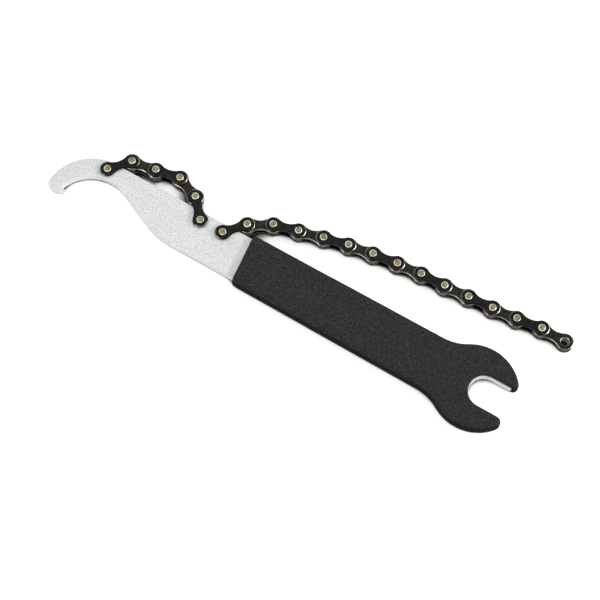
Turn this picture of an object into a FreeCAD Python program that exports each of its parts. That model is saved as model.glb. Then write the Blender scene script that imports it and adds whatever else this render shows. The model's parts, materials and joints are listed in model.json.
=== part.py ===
import FreeCAD, Part
import math
import os
import Sketcher
from FreeCAD import Placement, Rotation, Vector

# Chain whip for freewheel sprockets: a flat steel lever with a lockring hook and a short riveted
# chain loop at one end, an open-ended wrench at the other, and a long loose chain with an open end.
# Millimetres, +Z up. The origin is on the underside of the dipped grip, on the lever's centre line,
# halfway along the straight part of the grip. +X runs from the hook to the wrench, and the chain
# lies on the +Y side. The tool rests flat on the grip's underside and on the ends of the chain pins.

SIZES = {
    # roller chain, half inch by 3/32
    "pitch": 12.7,
    "inner_width": 2.4,
    "link_plate_thick": 0.95,
    "link_side_play": 0.1,
    "outer_end_radius": 3.85,
    "outer_waist_half": 2.15,
    "inner_end_radius": 4.3,
    "inner_waist_half": 2.6,
    "pin_diameter": 3.65,
    "pin_proud": 0.6,
    "pin_clearance": 0.05,
    "open_pivot_clearance": 0.25,
    "bush_wall": 0.625,
    "bush_gap": 0.2,
    "roller_diameter": 7.75,
    "roller_clearance": 0.05,
    "roller_side_gap": 0.05,
    # flat steel lever
    "lever_side_play": 0.25,
    "lever_half_width": 11.1,
    "rivet_edge_distance": 4.5,
    "rivet_back": 2.3,
    "short_chain_slack": 10.0,
    "hook_centre_x": -131.8,
    "hook_outer_radius": 24.2,
    "hook_inner_radius": 20.5,
    "hook_crown_width": 8.9,
    "hook_end_radius": 3.6,
    "hook_end_rise": 0.7,
    "hook_notch_angle": 6.3,
    "tooth_reach": 6.3,
    "tooth_drop": 0.8,
    "tooth_width": 1.7,
    "tooth_root_height": 2.6,
    "tooth_round": 0.55,
    "neck_angle": 24.6,
    "belly_radius": 44.3,
    # wrench head
    "head_x": 75.2,
    "head_radius": 20.4,
    "upper_cheek_shift": -0.3,
    "upper_cheek_offset": 2.2,
    "lower_cheek_shift": 1.0,
    "lower_cheek_offset": 1.9,
    "shoulder_radius": 25.0,
    "upper_prong_width": 2.6,
    "lower_prong_width": 3.0,
    "prong_round": 1.6,
    "jaw_half_width": 7.6,
    "jaw_corner_round": 1.4,
    "jaw_forward": 5.4,
    # dipped grip
    "dip_thick": 1.8,
    "dip_side": 2.45,
    "dip_taper": 0.35,
    "dip_edge_round": 1.5,
    "dip_upper_corner_round": 2.0,
    "dip_lower_corner_round": 2.8,
    "mouth_from_rivet": 13.8,
    "mouth_slant": 2.9,
}

# The short loop's first three links from the hook-side rivet climb by these angles, in degrees, times
# the root of the slack's share of the loop's length. The last two links close onto the second rivet.
SHORT_LINKS = 5
SHORT_CLIMB_ANGLES = [126.0, 22.7, 27.7]
# Headings of the long chain's links from its rivet in the lever to its open end.
LONG_HEADINGS = [49.5, 30.5, 15.5, 14.0, 13.0, 9.0, 7.5, 5.0, 2.0, 4.0, 3.5, 5.5, 7.5, -0.5]

CENTRE = 3
START = 1
END = 2
UP = Vector(0, 0, 1)

doc = FreeCAD.newDocument("chain_whip")
sheet = doc.addObject("Spreadsheet::Sheet", "Sizes")
for row, (alias, value) in enumerate(SIZES.items(), start=1):
    sheet.set(f"A{row}", alias)
    sheet.set(f"B{row}", str(value))
    sheet.setAlias(f"B{row}", alias)
doc.recompute()


def size(alias):
    """A size read back from the sheet."""
    return float(sheet.get(alias))


def cell(alias):
    """The expression that reads one size."""
    return f"Sizes.{alias}"


# Heights of the layers, measured from the chain's middle plane, and that plane's own height.
# The lever is as thick as the gap between the chain's outer plates, less its play on each side.
INNER_FACE = size("inner_width") / 2
OUTER_FACE = INNER_FACE + size("link_plate_thick") + size("link_side_play")
LEVER_THICK = 2 * (OUTER_FACE - size("lever_side_play"))
MID_Z = size("dip_thick") + LEVER_THICK / 2
OUTER_FACE_RULE = f"({cell('inner_width')} / 2 + {cell('link_plate_thick')} + {cell('link_side_play')})"
LEVER_THICK_RULE = f"2 * ({OUTER_FACE_RULE} - {cell('lever_side_play')})"

# The bore that runs on a pin, and the collar around it that a roller runs on.
BORE = size("pin_diameter") / 2 + size("pin_clearance")
BORE_RULE = f"{cell('pin_diameter')} / 2 + {cell('pin_clearance')}"
BUSH = BORE + size("bush_wall")
BUSH_RULE = f"{BORE_RULE} + {cell('bush_wall')}"

# The three rivets in the lever's edge: two hold the short loop, the third the long chain.
RIVET_Y = size("lever_half_width") - size("rivet_edge_distance")
HOOK_RIVET_X = size("hook_centre_x") - size("rivet_back")
LOOP_RIVET_X = HOOK_RIVET_X + SHORT_LINKS * size("pitch") - size("short_chain_slack")
LONG_RIVET_X = LOOP_RIVET_X + size("pitch")
RIVET_Y_RULE = f"{cell('lever_half_width')} - {cell('rivet_edge_distance')}"
HOOK_RIVET_RULE = f"{cell('hook_centre_x')} - {cell('rivet_back')}"
LOOP_RIVET_RULE = f"{HOOK_RIVET_RULE} + {SHORT_LINKS} * {cell('pitch')} - {cell('short_chain_slack')}"
LONG_RIVET_RULE = f"{LOOP_RIVET_RULE} + {cell('pitch')}"

# The grip's slanted mouth.
MOUTH_X = LONG_RIVET_X + size("mouth_from_rivet")
MOUTH_RULE = f"{LONG_RIVET_RULE} + {cell('mouth_from_rivet')}"


def polar(angle, radius=1.0):
    """A vector in the XY plane at an angle in degrees."""
    return Vector(radius * math.cos(math.radians(angle)), radius * math.sin(math.radians(angle)), 0)


def new_body(label, several=False):
    """A body of its own for one node; several solids are allowed where the node is a pair."""
    body = doc.addObject("PartDesign::Body", label)
    body.Label = label
    if several:
        body.AllowCompound = True
    return body


def origin_plane(body, role):
    """One of the body's own origin planes or axes."""
    return next(part for part in body.Origin.OriginFeatures if part.Role == role)


def new_sketch(body, name, height=0.0, height_rule=None):
    """A sketch on the body's own XY plane, raised by a height where one is given."""
    sketch = body.newObject("Sketcher::SketchObject", f"{body.Label}_{name}")
    sketch.AttachmentSupport = [(origin_plane(body, "XY_Plane"), "")]
    sketch.MapMode = "FlatFace"
    if height_rule:
        sketch.AttachmentOffset = Placement(Vector(0, 0, height), Rotation())
        sketch.setExpression(".AttachmentOffset.Base.z", height_rule)
    return sketch


def tie(sketch, kind, *terms, rule=None):
    """Add one constraint, with its value driven by a rule where it has one."""
    index = sketch.addConstraint(Sketcher.Constraint(kind, *terms))
    if rule:
        sketch.setExpression(f"Constraints[{index}]", rule)


def tie_place(sketch, axis, shape, point, value, rule):
    """Fix one coordinate of a point, measured from the sketch's origin."""
    kind = f"Distance{axis}"
    if value < 0:
        tie(sketch, kind, shape, point, -1, 1, -value, rule=f"-({rule})")
    else:
        tie(sketch, kind, -1, 1, shape, point, value, rule=rule)


def arc(sketch, centre, radius, first, last):
    """An arc drawn anticlockwise from the first angle to the last, in degrees."""
    circle = Part.Circle(centre, UP, radius)
    return sketch.addGeometry(Part.ArcOfCircle(circle, math.radians(first), math.radians(last)), False)


def line(sketch, first, last):
    """A straight line between two points."""
    return sketch.addGeometry(Part.LineSegment(first, last), False)


def ring(sketch, x, radius, radius_rule, x_rule=None):
    """A circle on the X axis, at the origin unless a rule places it."""
    circle = sketch.addGeometry(Part.Circle(Vector(x, 0, 0), UP, radius), False)
    if x_rule:
        tie(sketch, "PointOnObject", circle, CENTRE, -1)
        tie_place(sketch, "X", circle, CENTRE, x, x_rule)
    else:
        tie(sketch, "Coincident", circle, CENTRE, -1, 1)
    tie(sketch, "Radius", circle, radius, rule=radius_rule)
    return circle


def pad(body, sketch, length_rule, both_ways=False, downwards=False):
    """Raise a sketch by a length read from the sheet."""
    feature = body.newObject("PartDesign::Pad", f"{sketch.Name}_pad")
    feature.Profile = sketch
    feature.setExpression("Length", length_rule)
    feature.Midplane = both_ways
    feature.Reversed = downwards
    sketch.Visibility = False
    body.Tip = feature
    return feature


def pocket_through(body, sketch):
    """Cut a sketch right through the body, both ways, and make sure that it took material away."""
    doc.recompute()
    before = body.Shape.Volume
    feature = body.newObject("PartDesign::Pocket", f"{sketch.Name}_pocket")
    feature.Profile = sketch
    feature.Type = "ThroughAll"
    feature.Midplane = True
    body.Tip = feature
    doc.recompute()
    if body.Shape.Volume >= before - 0.01:
        raise RuntimeError(f"{feature.Name} cut nothing")
    return feature


def waist_radius(end_radius, waist_half):
    """Radius of the hollow side that runs into both round ends of a link plate."""
    half_pitch = size("pitch") / 2
    return (half_pitch**2 + waist_half**2 - end_radius**2) / (2 * (end_radius - waist_half))


def link_outline(sketch, kind):
    """The waisted outline of a link plate: two round ends joined by two hollow sides."""
    end, waist = size(f"{kind}_end_radius"), size(f"{kind}_waist_half")
    pitch, hollow = size("pitch"), waist_radius(end, waist)
    lift = waist + hollow
    lean = math.degrees(math.atan2(lift, pitch / 2))
    left = arc(sketch, Vector(0, 0, 0), end, lean, 360 - lean)
    upper = arc(sketch, Vector(pitch / 2, lift, 0), hollow, 180 + lean, 360 - lean)
    right = arc(sketch, Vector(pitch, 0, 0), end, 180 + lean, 540 - lean)
    lower = arc(sketch, Vector(pitch / 2, -lift, 0), hollow, lean, 180 - lean)
    tie(sketch, "Coincident", left, CENTRE, -1, 1)
    tie(sketch, "PointOnObject", right, CENTRE, -1)
    tie_place(sketch, "X", right, CENTRE, pitch, cell("pitch"))
    tie(sketch, "Radius", left, end, rule=cell(f"{kind}_end_radius"))
    tie(sketch, "Equal", left, right)
    end_cell, waist_cell = cell(f"{kind}_end_radius"), cell(f"{kind}_waist_half")
    hollow_rule = (
        f"(({cell('pitch')} / 2)^2 + {waist_cell}^2 - {end_cell}^2) / (2 * ({end_cell} - {waist_cell}))"
    )
    tie(sketch, "Radius", upper, hollow, rule=hollow_rule)
    tie(sketch, "Equal", upper, lower)
    tie(sketch, "Tangent", left, START, upper, START)
    tie(sketch, "Tangent", upper, END, right, END)
    tie(sketch, "Tangent", right, START, lower, START)
    tie(sketch, "Tangent", lower, END, left, END)


def link_place(start, heading, height=0.0, flipped=False):
    """Where a link lies: its first pivot, its heading and its height above the middle plane."""
    turn = Rotation(UP, heading)
    if flipped:
        turn = turn.multiply(Rotation(Vector(1, 0, 0), 180))
    return Placement(Vector(start.x, start.y, MID_Z + height), turn)


def outer_plates(label, start, heading):
    """The two waisted outer plates of a link, alike, one each side of the middle plane."""
    body = new_body(label, several=True)
    sketch = new_sketch(body, "outline", OUTER_FACE, OUTER_FACE_RULE)
    link_outline(sketch, "outer")
    bore, bore_rule = size("pin_diameter") / 2, f"{cell('pin_diameter')} / 2"
    ring(sketch, 0, bore, bore_rule)
    ring(sketch, size("pitch"), bore, bore_rule, cell("pitch"))
    plate = pad(body, sketch, cell("link_plate_thick"))
    pair = body.newObject("PartDesign::Mirrored", f"{label}_pair")
    pair.Originals = [plate]
    pair.MirrorPlane = (origin_plane(body, "XY_Plane"), [""])
    body.Tip = pair
    body.Placement = link_place(start, heading)
    return body


def link_pins(label, start, heading):
    """The two pins riveted into a link's outer plates, a little proud of both."""
    body = new_body(label, several=True)
    sketch = new_sketch(body, "pins")
    radius, radius_rule = size("pin_diameter") / 2, f"{cell('pin_diameter')} / 2"
    ring(sketch, 0, radius, radius_rule)
    ring(sketch, size("pitch"), radius, radius_rule, cell("pitch"))
    length_rule = (
        f"{cell('inner_width')} + 4 * {cell('link_plate_thick')} + 2 * {cell('link_side_play')}"
        f" + 2 * {cell('pin_proud')}"
    )
    pad(body, sketch, length_rule, both_ways=True)
    body.Placement = link_place(start, heading)
    return body


def inner_plate(label, start, heading, flipped, open_start=False):
    """One inner plate with the two collars pressed out of it, on which the rollers turn."""
    body = new_body(label)
    start_bore, start_rule = BORE, BORE_RULE
    if open_start:
        start_bore = size("pin_diameter") / 2 + size("open_pivot_clearance")
        start_rule = f"{cell('pin_diameter')} / 2 + {cell('open_pivot_clearance')}"
    sketch = new_sketch(body, "outline")
    link_outline(sketch, "inner")
    ring(sketch, 0, start_bore, start_rule)
    ring(sketch, size("pitch"), BORE, BORE_RULE, cell("pitch"))
    pad(body, sketch, cell("link_plate_thick"))
    collars = new_sketch(body, "collars")
    ring(collars, 0, BUSH, BUSH_RULE)
    ring(collars, 0, start_bore, start_rule)
    ring(collars, size("pitch"), BUSH, BUSH_RULE, cell("pitch"))
    ring(collars, size("pitch"), BORE, BORE_RULE, cell("pitch"))
    pad(body, collars, f"({cell('inner_width')} - {cell('bush_gap')}) / 2", downwards=True)
    side = -INNER_FACE if flipped else INNER_FACE
    body.Placement = link_place(start, heading, side, flipped)
    return body


def roller(label, centre):
    """A loose roller on the two collars of an inner link."""
    body = new_body(label)
    sketch = new_sketch(body, "ring")
    ring(sketch, 0, size("roller_diameter") / 2, f"{cell('roller_diameter')} / 2")
    ring(sketch, 0, BUSH + size("roller_clearance"), f"{BUSH_RULE} + {cell('roller_clearance')}")
    pad(body, sketch, f"{cell('inner_width')} - 2 * {cell('roller_side_gap')}", both_ways=True)
    body.Placement = link_place(centre, 0.0)
    return body


def angle_at(centre, point):
    """The angle of a point seen from a centre, in degrees from 0 to 360."""
    return math.degrees(math.atan2(point.y - centre.y, point.x - centre.x)) % 360


class HeadSide:
    """One side of the wrench head: a round cheek that runs into the handle's edge in a hollow."""

    def __init__(self, side, grow, edge_half, taper):
        self.side = side
        self.grow = grow
        name = "upper" if side > 0 else "lower"
        self.prong, self.shift, self.offset = f"{name}_prong_width", f"{name}_cheek_shift", f"{name}_cheek_offset"
        self.cheek_radius = size("head_radius") + grow
        self.hollow_radius = size("shoulder_radius") - grow
        self.cheek = Vector(size("head_x") + size(self.shift), -side * size(self.offset), 0)
        along = Vector(math.cos(math.radians(taper)), side * math.sin(math.radians(taper)), 0)
        out = Vector(-side * along.y, side * along.x, 0)
        foot = Vector(0, side * edge_half, 0) + out * self.hollow_radius
        gap = foot - self.cheek
        reach = self.cheek_radius + self.hollow_radius
        back = gap.dot(along) + math.sqrt(gap.dot(along) ** 2 - gap.dot(gap) + reach**2)
        self.hollow = foot - along * back
        self.blend = self.cheek + (self.hollow - self.cheek) * (self.cheek_radius / reach)
        self.edge_end = self.hollow - out * self.hollow_radius
        self.along = along

    def edge_point(self, x):
        """The point of the straight edge at a given x."""
        return self.edge_end + self.along * ((x - self.edge_end.x) / self.along.x)

    def tip(self):
        """The prong's outer tip: where the steel prong has its stated width, moved out by the coat."""
        rise = size("jaw_half_width") + size(self.prong) + size(self.offset)
        reach = math.sqrt(size("head_radius") ** 2 - rise**2)
        x = self.cheek.x + reach + self.grow
        coated = math.sqrt(self.cheek_radius**2 - (x - self.cheek.x) ** 2)
        return Vector(x, self.cheek.y + self.side * coated, 0)

    def tip_rule(self, grow_rule):
        """The rule for the tip's x."""
        rise = f"({cell('jaw_half_width')} + {cell(self.prong)} + {cell(self.offset)})"
        return f"{self.x_rule()} + sqrt({cell('head_radius')}^2 - {rise}^2) + {grow_rule}"

    def x_rule(self):
        """The rule for the x of the cheek's centre."""
        return f"{cell('head_x')} + {cell(self.shift)}"

    def draw(self, sketch, grow):
        """Draw the cheek from its tip and the hollow, tied to each other and to their sizes."""
        tip_angle = angle_at(self.cheek, self.tip())
        blend_angle = angle_at(self.cheek, self.blend)
        blend_back = angle_at(self.hollow, self.blend)
        edge_angle = angle_at(self.hollow, self.edge_end)
        if self.side > 0:
            cheek = arc(sketch, self.cheek, self.cheek_radius, tip_angle, blend_angle)
            hollow = arc(sketch, self.hollow, self.hollow_radius, edge_angle, blend_back)
            tie(sketch, "Tangent", cheek, END, hollow, END)
        else:
            tip_angle += 0 if tip_angle > blend_angle else 360
            cheek = arc(sketch, self.cheek, self.cheek_radius, blend_angle, tip_angle)
            hollow = arc(sketch, self.hollow, self.hollow_radius, blend_back, edge_angle)
            tie(sketch, "Tangent", cheek, START, hollow, START)
        tie(sketch, "Radius", cheek, self.cheek_radius, rule=f"{cell('head_radius')} + {grow}")
        tie(sketch, "Radius", hollow, self.hollow_radius, rule=f"{cell('shoulder_radius')} - {grow}")
        tie_place(sketch, "X", cheek, CENTRE, self.cheek.x, self.x_rule())
        sign = "-" if self.side > 0 else ""
        tie_place(sketch, "Y", cheek, CENTRE, self.cheek.y, f"{sign}{cell(self.offset)}")
        return cheek, hollow

    def tip_end(self):
        """Which end of the cheek's arc is at the prong's tip."""
        return START if self.side > 0 else END

    def edge_side_end(self):
        """Which end of the hollow's arc meets the straight edge."""
        return START if self.side > 0 else END


def draw_head(sketch, grow, grow_rule, edge_half, taper):
    """Both cheeks and hollows and the line that closes the prongs' tips."""
    upper, lower = HeadSide(1, grow, edge_half, taper), HeadSide(-1, grow, edge_half, taper)
    upper_cheek, upper_hollow = upper.draw(sketch, grow_rule)
    lower_cheek, lower_hollow = lower.draw(sketch, grow_rule)
    front = line(sketch, lower.tip(), upper.tip())
    tie(sketch, "Coincident", front, START, lower_cheek, lower.tip_end())
    tie(sketch, "Coincident", front, END, upper_cheek, upper.tip_end())
    tie_place(sketch, "X", front, END, upper.tip().x, upper.tip_rule(grow_rule))
    tie_place(sketch, "X", front, START, lower.tip().x, lower.tip_rule(grow_rule))
    return upper, lower, upper_hollow, lower_hollow


def jaw_outline(sketch):
    """The wrench opening: two parallel flats with a full round at the back."""
    half, back = size("jaw_half_width"), size("head_x") + size("jaw_forward")
    reach = back + size("head_radius") + 4 * half
    upper = line(sketch, Vector(back, half, 0), Vector(reach, half, 0))
    mouth = line(sketch, Vector(reach, half, 0), Vector(reach, -half, 0))
    lower = line(sketch, Vector(reach, -half, 0), Vector(back, -half, 0))
    rear = arc(sketch, Vector(back, 0, 0), half, 90, 270)
    tie(sketch, "Tangent", upper, START, rear, START)
    tie(sketch, "Coincident", upper, END, mouth, START)
    tie(sketch, "Coincident", mouth, END, lower, START)
    tie(sketch, "Tangent", lower, END, rear, END)
    tie(sketch, "Horizontal", upper)
    tie(sketch, "Horizontal", lower)
    tie(sketch, "Vertical", mouth)
    tie(sketch, "PointOnObject", rear, CENTRE, -1)
    back_rule = f"{cell('head_x')} + {cell('jaw_forward')}"
    tie_place(sketch, "X", rear, CENTRE, back, back_rule)
    tie(sketch, "Radius", rear, half, rule=cell("jaw_half_width"))
    reach_rule = f"{back_rule} + {cell('head_radius')} + 4 * {cell('jaw_half_width')}"
    tie_place(sketch, "X", mouth, END, reach, reach_rule)


class HookEnd:
    """The hook's rounded end: its middle, and the notch where the hook's inner arc runs into it."""

    def __init__(self):
        half, outer_radius = size("lever_half_width"), size("hook_outer_radius")
        self.hook = Vector(size("hook_centre_x"), half - outer_radius, 0)
        self.radius = size("hook_end_radius")
        rise = size("hook_end_rise")
        back = math.sqrt((outer_radius - self.radius) ** 2 - rise**2)
        self.middle = self.hook + Vector(-back, rise, 0)
        self.notch = self.middle + polar(size("hook_notch_angle"), self.radius)

    def x_rule(self):
        """The rule for the middle's x."""
        reach = f"({cell('hook_outer_radius')} - {cell('hook_end_radius')})"
        return f"{cell('hook_centre_x')} - sqrt({reach}^2 - {cell('hook_end_rise')}^2)"

    def y_rule(self):
        """The rule for the middle's y."""
        return f"{cell('lever_half_width')} - {cell('hook_outer_radius')} + {cell('hook_end_rise')}"


def lever_outline(sketch, hook_end):
    """The lever's whole outline without its jaw, holes and hook tooth."""
    half = size("lever_half_width")
    upper, lower, upper_hollow, lower_hollow = draw_head(sketch, 0.0, "0", half, 0.0)

    hook, outer_radius = hook_end.hook, size("hook_outer_radius")
    end, end_radius, notch = hook_end.middle, hook_end.radius, hook_end.notch
    end_angle = angle_at(hook, end)
    inner_radius = size("hook_inner_radius")
    inner_y = half - size("hook_crown_width") - inner_radius
    inner = Vector(notch.x + math.sqrt(inner_radius**2 - (notch.y - inner_y) ** 2), inner_y, 0)
    neck, belly_radius = size("neck_angle"), size("belly_radius")
    neck_top = inner + polar(90 - neck, inner_radius)
    belly_drop = belly_radius * (1 - math.cos(math.radians(neck)))
    neck_low_y = belly_drop - half
    neck_low = Vector(neck_top.x + (neck_top.y - neck_low_y) / math.tan(math.radians(neck)), neck_low_y, 0)
    belly = neck_low + polar(90 - neck, belly_radius)
    belly_end = Vector(belly.x, -half, 0)

    top_edge = line(sketch, upper.edge_end, Vector(hook.x, half, 0))
    outer_arc = arc(sketch, hook, outer_radius, 90, end_angle)
    end_arc = arc(sketch, end, end_radius, end_angle, 360 + angle_at(end, notch))
    inner_arc = arc(sketch, inner, inner_radius, 90 - neck, angle_at(inner, notch))
    neck_line = line(sketch, neck_top, neck_low)
    belly_arc = arc(sketch, belly, belly_radius, 270 - neck, 270)
    low_edge = line(sketch, belly_end, lower.edge_end)

    tie(sketch, "Tangent", upper_hollow, START, top_edge, START)
    tie(sketch, "Tangent", top_edge, END, outer_arc, START)
    tie(sketch, "Tangent", outer_arc, END, end_arc, START)
    tie(sketch, "Coincident", end_arc, END, inner_arc, END)
    tie(sketch, "Tangent", inner_arc, START, neck_line, START)
    tie(sketch, "Tangent", neck_line, END, belly_arc, START)
    tie(sketch, "Tangent", belly_arc, END, low_edge, START)
    tie(sketch, "Tangent", low_edge, END, lower_hollow, END)
    tie(sketch, "Horizontal", top_edge)
    tie(sketch, "Horizontal", low_edge)
    tie_place(sketch, "Y", top_edge, START, half, cell("lever_half_width"))
    tie_place(sketch, "Y", low_edge, START, -half, f"-{cell('lever_half_width')}")
    tie_place(sketch, "X", outer_arc, CENTRE, hook.x, cell("hook_centre_x"))
    tie(sketch, "Radius", outer_arc, outer_radius, rule=cell("hook_outer_radius"))
    tie(sketch, "Radius", end_arc, end_radius, rule=cell("hook_end_radius"))
    tie_place(sketch, "Y", end_arc, CENTRE, end.y, hook_end.y_rule())
    notch_rise = f"{cell('hook_end_radius')} * sin({cell('hook_notch_angle')} * 1 deg)"
    tie_place(sketch, "Y", end_arc, END, notch.y, f"{hook_end.y_rule()} + {notch_rise}")
    tie(sketch, "Radius", inner_arc, inner_radius, rule=cell("hook_inner_radius"))
    crown_rule = f"{cell('lever_half_width')} - {cell('hook_crown_width')} - {cell('hook_inner_radius')}"
    tie_place(sketch, "Y", inner_arc, CENTRE, inner.y, crown_rule)
    tie(sketch, "Radius", belly_arc, belly_radius, rule=cell("belly_radius"))
    slope = math.radians(neck)
    tie(sketch, "Angle", neck_line, END, -1, END, slope, rule=f"{cell('neck_angle')} * 1 deg")


def tooth_tip(hook_end):
    """The two corners of the tooth's tip, upper one first."""
    top = hook_end.middle + Vector(size("tooth_reach"), -size("tooth_drop"), 0)
    return top, top - Vector(0, size("tooth_width"), 0)


def tooth_outline(sketch, hook_end):
    """The small square tooth on the inner side of the hook's end, rooted in the middle of that end."""
    root = hook_end.middle
    top, bottom = tooth_tip(hook_end)
    corners = [
        Vector(root.x, bottom.y, 0),
        bottom,
        top,
        Vector(root.x, bottom.y + size("tooth_root_height"), 0),
    ]
    sides = [line(sketch, corners[i], corners[(i + 1) % 4]) for i in range(4)]
    for i in range(4):
        tie(sketch, "Coincident", sides[i], END, sides[(i + 1) % 4], START)
    tie(sketch, "Horizontal", sides[0])
    tie(sketch, "Vertical", sides[1])
    tie(sketch, "Vertical", sides[3])
    top_rule = f"{hook_end.y_rule()} - {cell('tooth_drop')}"
    bottom_rule = f"{top_rule} - {cell('tooth_width')}"
    tie_place(sketch, "X", sides[1], START, bottom.x, f"{hook_end.x_rule()} + {cell('tooth_reach')}")
    tie_place(sketch, "Y", sides[1], START, bottom.y, bottom_rule)
    tie_place(sketch, "Y", sides[1], END, top.y, top_rule)
    root_rule = f"{bottom_rule} + {cell('tooth_root_height')}"
    tie_place(sketch, "Y", sides[3], START, corners[3].y, root_rule)
    tie_place(sketch, "X", sides[0], START, root.x, hook_end.x_rule())


def upright_edges(shape, places, reach=0.05):
    """Names of the edges that stand along Z at the given places."""
    names = []
    for number, edge in enumerate(shape.Edges, start=1):
        first, last = edge.Vertexes[0].Point, edge.Vertexes[-1].Point
        flat_apart = math.hypot(first.x - last.x, first.y - last.y)
        if flat_apart > reach or abs(first.z - last.z) < reach:
            continue
        if any(math.hypot(first.x - place.x, first.y - place.y) < reach for place in places):
            names.append(f"Edge{number}")
    return names


def round_edges(body, base, names, radius_rule):
    """Round the named edges of a feature."""
    fillet = body.newObject("PartDesign::Fillet", f"{body.Label}_round")
    fillet.Base = (base, names)
    fillet.setExpression("Radius", radius_rule)
    body.Tip = fillet
    doc.recompute()
    return fillet


def jaw_corners(tips):
    """Where the jaw's two flats run out through the line between the prongs' tips."""
    upper, lower = tips
    half = size("jaw_half_width")
    slope = (upper.x - lower.x) / (upper.y - lower.y)
    return [Vector(upper.x + slope * (y - upper.y), y, 0) for y in (half, -half)]


def lever_plate():
    """The flat steel lever: hook, handle, wrench head, jaw and three rivet holes."""
    body = new_body("lever_plate")
    hook_end = HookEnd()
    outline = new_sketch(body, "outline")
    lever_outline(outline, hook_end)
    pad(body, outline, LEVER_THICK_RULE)
    tooth = new_sketch(body, "tooth")
    tooth_outline(tooth, hook_end)
    blank = pad(body, tooth, LEVER_THICK_RULE)
    doc.recompute()
    corners = upright_edges(blank.Shape, tooth_tip(hook_end))
    blank = round_edges(body, blank, corners, cell("tooth_round"))
    tips = [HeadSide(side, 0.0, size("lever_half_width"), 0.0).tip() for side in (1, -1)]
    round_edges(body, blank, upright_edges(blank.Shape, tips), cell("prong_round"))
    jaw = new_sketch(body, "jaw")
    jaw_outline(jaw)
    open_jaw = pocket_through(body, jaw)
    corners = jaw_corners(tips)
    round_edges(body, open_jaw, upright_edges(open_jaw.Shape, corners), cell("jaw_corner_round"))
    holes = new_sketch(body, "rivet_holes")
    rivet_rules = (HOOK_RIVET_RULE, LOOP_RIVET_RULE, LONG_RIVET_RULE)
    for x, x_rule in zip((HOOK_RIVET_X, LOOP_RIVET_X, LONG_RIVET_X), rivet_rules):
        hole = holes.addGeometry(Part.Circle(Vector(x, RIVET_Y, 0), UP, BORE), False)
        tie(holes, "Radius", hole, BORE, rule=BORE_RULE)
        tie_place(holes, "X", hole, CENTRE, x, x_rule)
        tie_place(holes, "Y", hole, CENTRE, RIVET_Y, RIVET_Y_RULE)
    pocket_through(body, holes)
    body.Placement = Placement(Vector(0, 0, size("dip_thick")), Rotation())
    return body


def handle_outline(sketch):
    """The outline of the head and handle up to the grip's slanted mouth, grown sideways by the dip."""
    grow, grow_rule, taper = size("dip_side"), cell("dip_side"), size("dip_taper")
    mouth_upper, mouth_lower = MOUTH_X, MOUTH_X + size("mouth_slant")
    mouth_rules = (MOUTH_RULE, f"{MOUTH_RULE} + {cell('mouth_slant')}")
    half = size("lever_half_width") + grow
    upper, lower, upper_hollow, lower_hollow = draw_head(sketch, grow, grow_rule, half, taper)
    upper_mouth, lower_mouth = upper.edge_point(mouth_upper), lower.edge_point(mouth_lower)
    top = line(sketch, upper_mouth, upper.edge_end)
    mouth = line(sketch, upper_mouth, lower_mouth)
    low = line(sketch, lower_mouth, lower.edge_end)
    tie(sketch, "Tangent", upper_hollow, START, top, END)
    tie(sketch, "Coincident", top, START, mouth, START)
    tie(sketch, "Coincident", mouth, END, low, START)
    tie(sketch, "Tangent", low, END, lower_hollow, END)
    tie(sketch, "Angle", top, math.radians(taper), rule=f"{cell('dip_taper')} * 1 deg")
    tie(sketch, "Angle", low, -math.radians(taper), rule=f"-{cell('dip_taper')} * 1 deg")
    tie_place(sketch, "X", mouth, START, mouth_upper, mouth_rules[0])
    tie_place(sketch, "X", mouth, END, mouth_lower, mouth_rules[1])
    half_rule = f"{cell('lever_half_width')} + {grow_rule}"
    rise_rule = f"tan({cell('dip_taper')} * 1 deg)"
    upper_rule = f"{half_rule} + ({mouth_rules[0]}) * {rise_rule}"
    lower_rule = f"-({half_rule} + ({mouth_rules[1]}) * {rise_rule})"
    tie_place(sketch, "Y", mouth, START, upper_mouth.y, upper_rule)
    tie_place(sketch, "Y", mouth, END, lower_mouth.y, lower_rule)
    return upper_mouth, lower_mouth


def rim_names(shape, mouth, low, high, reach=0.05):
    """Names of the flat outline edges at the top and bottom faces, all but those of the mouth."""
    names = []
    for number, edge in enumerate(shape.Edges, start=1):
        heights = [vertex.Point.z for vertex in edge.Vertexes]
        flat = max(heights) - min(heights) < reach
        on_face = min(abs(heights[0] - low), abs(heights[0] - high)) < reach
        at_mouth = all(
            any(math.hypot(v.Point.x - m.x, v.Point.y - m.y) < reach for m in mouth) for v in edge.Vertexes
        )
        if flat and on_face and not at_mouth:
            names.append(f"Edge{number}")
    return names


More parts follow.
